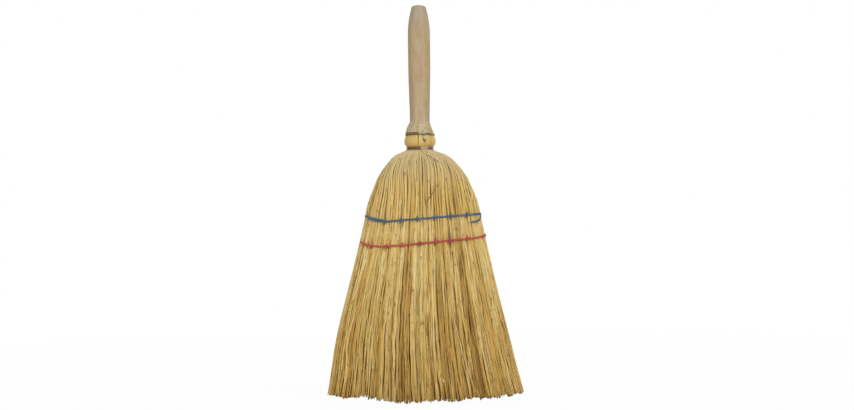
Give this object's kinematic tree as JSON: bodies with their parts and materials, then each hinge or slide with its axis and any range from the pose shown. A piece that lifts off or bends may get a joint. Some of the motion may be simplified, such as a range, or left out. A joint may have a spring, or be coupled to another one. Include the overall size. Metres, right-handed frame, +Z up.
{
  "type": "hand broom",
  "caption": "Hand broom with a turned wooden handle and a flat, flared head of natural straw, wired at the neck and sewn flat with blue and red twine, for sweeping small areas.",
  "frame": {"origin": "middle of the base, at the height of the lowest straw tips; the handle's axis stands 4.2 mm to the left of it, because the straw leans to the right", "axes": "+Z up along the handle, +X to the right across the flat face, front face towards -Y"},
  "size_m": [0.2059, 0.0497, 0.41],
  "materials": {
    "handle_wood": "matt, unvarnished",
    "cover_straw": "dry straw, slightly glossy",
    "inner_straw": "dry straw",
    "binding_wire": "dull, weathered",
    "nail_steel": "satin",
    "blue_twine": "twisted twine",
    "red_twine": "twisted twine"
  },
  "bodies": {
    "root": {"handle": "handle_wood", "binding_nail": "nail_steel", "upper_wire": "binding_wire", "lower_wire": "binding_wire", "blue_stitching": "blue_twine", "red_stitching": "red_twine", "front_core_1": "inner_straw", "front_cover_1": "cover_straw", "front_core_2": "inner_straw", "front_cover_2": "cover_straw", "front_core_3": "inner_straw", "front_cover_3": "cover_straw", "front_core_4": "inner_straw", "front_cover_4": "cover_straw", "front_core_5": "inner_straw", "front_cover_5": "cover_straw", "front_core_6": "inner_straw", "front_cover_6": "cover_straw", "front_core_7": "inner_straw", "front_cover_7": "cover_straw", "front_core_8": "inner_straw", "front_cover_8": "cover_straw", "back_core_1": "inner_straw", "back_cover_1": "cover_straw", "back_core_2": "inner_straw", "back_cover_2": "cover_straw", "back_core_3": "inner_straw", "back_cover_3": "cover_straw", "back_core_4": "inner_straw", "back_cover_4": "cover_straw", "back_core_5": "inner_straw", "back_cover_5": "cover_straw", "back_core_6": "inner_straw", "back_cover_6": "cover_straw", "back_core_7": "inner_straw", "back_cover_7": "cover_straw", "back_core_8": "inner_straw", "back_cover_8": "cover_straw"}
  },
  "joints": []
}
